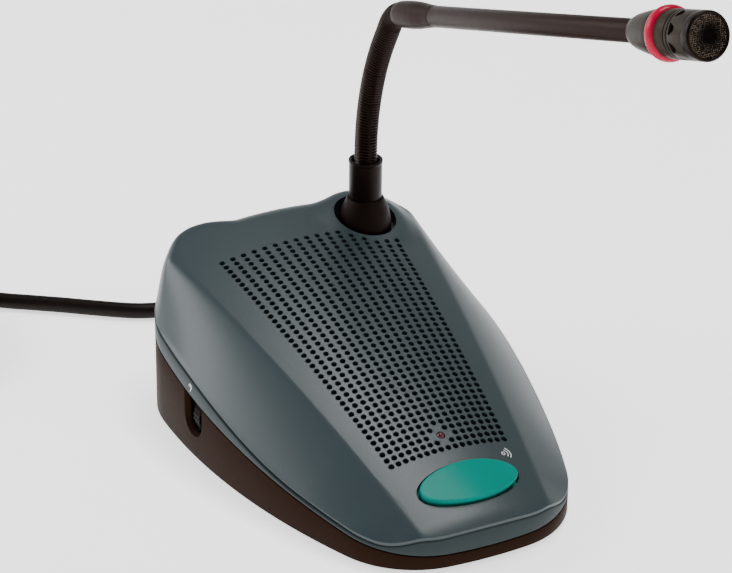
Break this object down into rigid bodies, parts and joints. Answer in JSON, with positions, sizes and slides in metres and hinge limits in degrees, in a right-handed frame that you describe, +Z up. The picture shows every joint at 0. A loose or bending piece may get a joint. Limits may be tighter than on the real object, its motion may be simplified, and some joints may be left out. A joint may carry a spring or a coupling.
{
  "type": "conference microphone unit",
  "caption": "Wedge-shaped desk conference unit with a perforated loudspeaker deck, one large talk key, a side volume wheel and a gooseneck microphone with a red light ring.",
  "frame": {"origin": "on the table, under the middle of the case", "axes": "+X to the user's right, +Y to the rear, +Z up; the front with the talk key faces -Y"},
  "size_m": [0.2736, 0.3908, 0.2253],
  "materials": {
    "slate_shell": "fine satin moulding",
    "umber_shell": "fine matt moulding",
    "teal_key": "smooth moulding",
    "black_plastic": "matt moulding",
    "black_metal": "satin black lacquer",
    "grey_metal": "satin grey-brown lacquer",
    "red_ring": "translucent moulding",
    "red_light": "clear tinted moulding",
    "rubber": "matt",
    "steel": "zinc plated",
    "board": "solder mask",
    "cloth": "open weave",
    "cone": "pressed paper",
    "magnet": "ferrite and steel",
    "nickel": "nickel plated",
    "aluminium": "drawn",
    "cable": "smooth jacket",
    "mesh": "woven wire, black"
  },
  "bodies": {
    "base": {"lower_shell": "umber_shell", "top_shell": "slate_shell", "rubber_pad": "rubber", "case_screws": "steel", "ballast_plate": "steel", "ballast_screws": "steel", "main_board": "board", "board_screws": "steel", "board_chips": "black_plastic", "speaker_cloth": "cloth", "speaker_gasket": "rubber", "speaker_frame": "steel", "speaker_cone": "cone", "speaker_magnet": "magnet", "speaker_screws": "steel", "key_guide": "black_plastic", "key_board": "board", "key_screws": "steel", "key_switch": "black_plastic", "status_led": "red_light", "light_pipe": "red_light", "volume_pot": "black_plastic", "neck_boot": "rubber", "neck_sleeve": "black_metal", "neck_washer": "steel", "neck_nut": "steel", "cable_relief": "rubber", "cable_run": "cable", "cable_coil": "cable", "coil_tie": "black_plastic", "plug_boot": "rubber", "plug_shell": "nickel", "plug_insert": "black_plastic"},
    "key": {"talk_key": "teal_key"},
    "plunger": {"switch_plunger": "black_plastic"},
    "wheel": {"volume_wheel": "black_plastic"},
    "link_1": {"neck_link_1": "black_metal"},
    "link_2": {"neck_link_2": "black_metal"},
    "link_3": {"neck_link_3": "black_metal"},
    "link_4": {"neck_link_4": "black_metal"},
    "microphone": {"neck_link_5": "black_metal", "ferrule": "black_metal", "boom_tube": "black_metal", "head_collar": "grey_metal", "light_ring": "red_ring", "ring_board": "board", "head_housing": "grey_metal", "head_mesh": "mesh", "capsule_seal": "rubber", "mic_capsule": "aluminium"}
  },
  "joints": [
    {"name": "key_press", "type": "slide", "parent": "base", "child": "key", "axis": [0, 0.3899, -0.9209], "range_m": [0, 0.0012], "stiffness_N_per_m": 900, "springref_m": -0.0008},
    {"name": "plunger_press", "type": "slide", "parent": "base", "child": "plunger", "axis": [0, 0.3899, -0.9209], "range_m": [0, 0.0012]},
    {"name": "volume_turn", "type": "hinge", "parent": "base", "child": "wheel", "pos_m": [-0.05492, 0.0169, 0.01833], "axis": [0, 1, 0], "range_deg": [-135, 135]},
    {"name": "neck_bend_1", "type": "hinge", "parent": "base", "child": "link_1", "pos_m": [0.0293, 0.06026, 0.095], "axis": [1, 0, 0], "range_deg": [-20, 15]},
    {"name": "neck_sway_2", "type": "hinge", "parent": "link_1", "child": "link_2", "pos_m": [0.0293, 0.05883, 0.10952], "axis": [0, 0.986, 0.1668], "range_deg": [-20, 20]},
    {"name": "neck_bend_3", "type": "hinge", "parent": "link_2", "child": "link_3", "pos_m": [0.0293, 0.0554, 0.1237], "axis": [1, 0, 0], "range_deg": [-20, 15]},
    {"name": "neck_sway_4", "type": "hinge", "parent": "link_3", "child": "link_4", "pos_m": [0.0293, 0.05004, 0.13727], "axis": [0, 0.9023, 0.4311], "range_deg": [-20, 20]},
    {"name": "neck_bend_5", "type": "hinge", "parent": "link_4", "child": "microphone", "pos_m": [0.0293, 0.04302, 0.15006], "axis": [1, 0, 0], "range_deg": [-20, 15]}
  ],
  "couplings": [
    {"joint": "plunger_press", "follows": "key_press", "ratio": 1}
  ]
}
